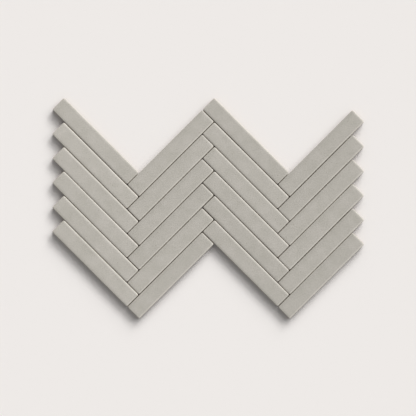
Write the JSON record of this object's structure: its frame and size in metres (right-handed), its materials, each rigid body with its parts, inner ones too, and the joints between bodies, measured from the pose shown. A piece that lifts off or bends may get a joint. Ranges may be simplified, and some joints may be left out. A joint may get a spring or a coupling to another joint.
{
  "type": "herringbone mosaic tile",
  "caption": "Sheet of herringbone mosaic: slim grey glazed ceramic bars with cushioned edges, laid at 45 degrees in zigzag columns on a fibreglass backing mesh.",
  "frame": {"origin": "middle of the sheet's outline, on the underside of the backing mesh", "axes": "+X along the zigzag to the right, +Y up the columns, +Z out of the glazed face"},
  "size_m": [0.426, 0.3014, 0.0085],
  "materials": {
    "glazed_bar": "matt",
    "mesh": "satin"
  },
  "bodies": {
    "root": {"bar_a1": "glazed_bar", "bar_a2": "glazed_bar", "bar_a3": "glazed_bar", "bar_a4": "glazed_bar", "bar_a5": "glazed_bar", "bar_a6": "glazed_bar", "bar_b1": "glazed_bar", "bar_b2": "glazed_bar", "bar_b3": "glazed_bar", "bar_b4": "glazed_bar", "bar_b5": "glazed_bar", "bar_b6": "glazed_bar", "bar_c1": "glazed_bar", "bar_c2": "glazed_bar", "bar_c3": "glazed_bar", "bar_c4": "glazed_bar", "bar_c5": "glazed_bar", "bar_c6": "glazed_bar", "bar_d1": "glazed_bar", "bar_d2": "glazed_bar", "bar_d3": "glazed_bar", "bar_d4": "glazed_bar", "bar_d5": "glazed_bar", "bar_d6": "glazed_bar", "mesh_backing": "mesh"}
  },
  "joints": []
}
